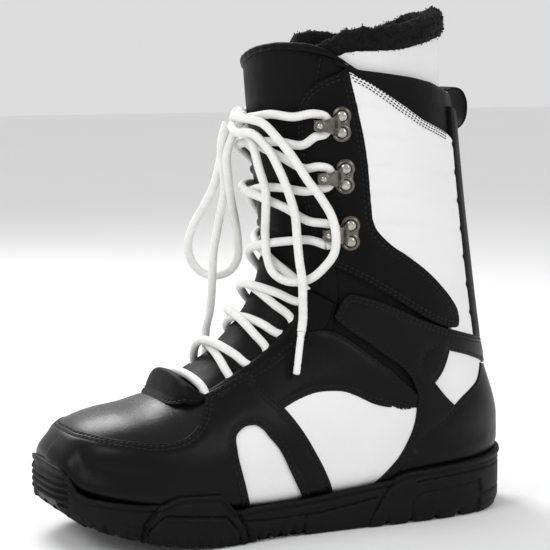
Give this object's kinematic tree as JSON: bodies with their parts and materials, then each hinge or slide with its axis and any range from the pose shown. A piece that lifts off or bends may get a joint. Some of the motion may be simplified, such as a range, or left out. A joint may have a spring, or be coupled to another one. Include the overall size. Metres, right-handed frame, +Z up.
{
  "type": "snowboard boot",
  "caption": "Tall lace-up snowboard boot with leather panels, metal lacing hooks, rubber cup sole and a fleece-topped liner; the cuff flexes at the ankle.",
  "frame": {"origin": "on the ground under the middle of the sole, in the boot's middle plane", "axes": "+Z up, -Y towards the toe, +X towards the outer (lateral) side of the left foot"},
  "size_m": [0.1154, 0.306, 0.3113],
  "materials": {
    "sole_rubber": "matt moulded rubber",
    "midsole_foam": "foam",
    "steel": "plain",
    "board": "fibre board",
    "footbed_foam": "knit over foam",
    "smooth_leather": "satin coated leather",
    "stiffener": "moulded sheet",
    "matt_leather": "matt grained leather",
    "white_leather": "fine grain coated leather",
    "black_fabric": "stretch woven",
    "webbing": "woven tape",
    "hook_metal": "dark nickel",
    "rivet_metal": "polished",
    "lace_white": "braided",
    "aglet_plastic": "clear coated tip",
    "liner_white": "smooth coated foam",
    "fleece": "deep pile"
  },
  "bodies": {
    "foot": {"outsole": "sole_rubber", "midsole": "midsole_foam", "shank": "steel", "lasting_board": "board", "footbed": "footbed_foam", "toe_cap": "smooth_leather", "toe_stiffener": "stiffener", "vamp": "smooth_leather", "throat_tab": "matt_leather", "quarter_lateral": "smooth_leather", "quarter_medial": "smooth_leather", "forefoot_window_lateral": "white_leather", "forefoot_window_medial": "white_leather", "midfoot_window_lateral": "white_leather", "midfoot_window_medial": "white_leather", "heel_window_lateral": "white_leather", "heel_window_medial": "white_leather", "ankle_strap_lateral": "smooth_leather", "ankle_strap_medial": "smooth_leather", "heel_counter": "smooth_leather", "heel_stiffener": "stiffener", "tongue_lower": "matt_leather", "tongue_flex_zone": "black_fabric", "ankle_gusset_lateral": "black_fabric", "ankle_gusset_medial": "black_fabric", "lace_loops_lateral": "webbing", "lace_loops_medial": "webbing", "lace_lower": "lace_white", "lace_bridge": "lace_white", "aglet_lateral": "aglet_plastic", "aglet_medial": "aglet_plastic", "liner_foot": "liner_white", "liner_flex_zone": "liner_white"},
    "cuff": {"tongue_upper": "matt_leather", "tongue_binding": "black_fabric", "lace_keeper": "hook_metal", "cuff_facing_lateral": "matt_leather", "cuff_facing_medial": "matt_leather", "cuff_side_lateral": "white_leather", "cuff_side_medial": "white_leather", "rear_collar": "black_fabric", "backstay": "matt_leather", "pull_loop": "webbing", "lace_hooks_lateral": "hook_metal", "lace_hooks_medial": "hook_metal", "hook_rivets_lateral": "rivet_metal", "hook_rivets_medial": "rivet_metal", "lace_upper": "lace_white", "lace_knot": "lace_white", "lace_end_lateral": "lace_white", "lace_end_medial": "lace_white", "liner_cuff": "liner_white", "liner_tongue": "liner_white", "liner_collar": "fleece"},
    "bow_lateral": {"bow_loop_lateral": "lace_white"},
    "bow_medial": {"bow_loop_medial": "lace_white"}
  },
  "joints": [
    {"name": "ankle_flex", "type": "hinge", "parent": "foot", "child": "cuff", "pos_m": [0, 0.0786, 0.1283], "axis": [1, 0, 0], "range_deg": [0, 10], "stiffness_Nm_per_rad": 35, "deforming": ["tongue_flex_zone", "ankle_gusset_lateral", "ankle_gusset_medial", "liner_flex_zone", "lace_bridge", "lace_end_lateral", "lace_end_medial"]},
    {"name": "bow_swing_lateral", "type": "hinge", "parent": "cuff", "child": "bow_lateral", "pos_m": [0, -0.024, 0.251], "axis": [-1, 0, 0], "range_deg": [0, 60], "deforming": ["lace_end_lateral"]},
    {"name": "bow_swing_medial", "type": "hinge", "parent": "cuff", "child": "bow_medial", "pos_m": [0, -0.024, 0.251], "axis": [-1, 0, 0], "range_deg": [0, 60], "deforming": ["lace_end_medial"]}
  ]
}
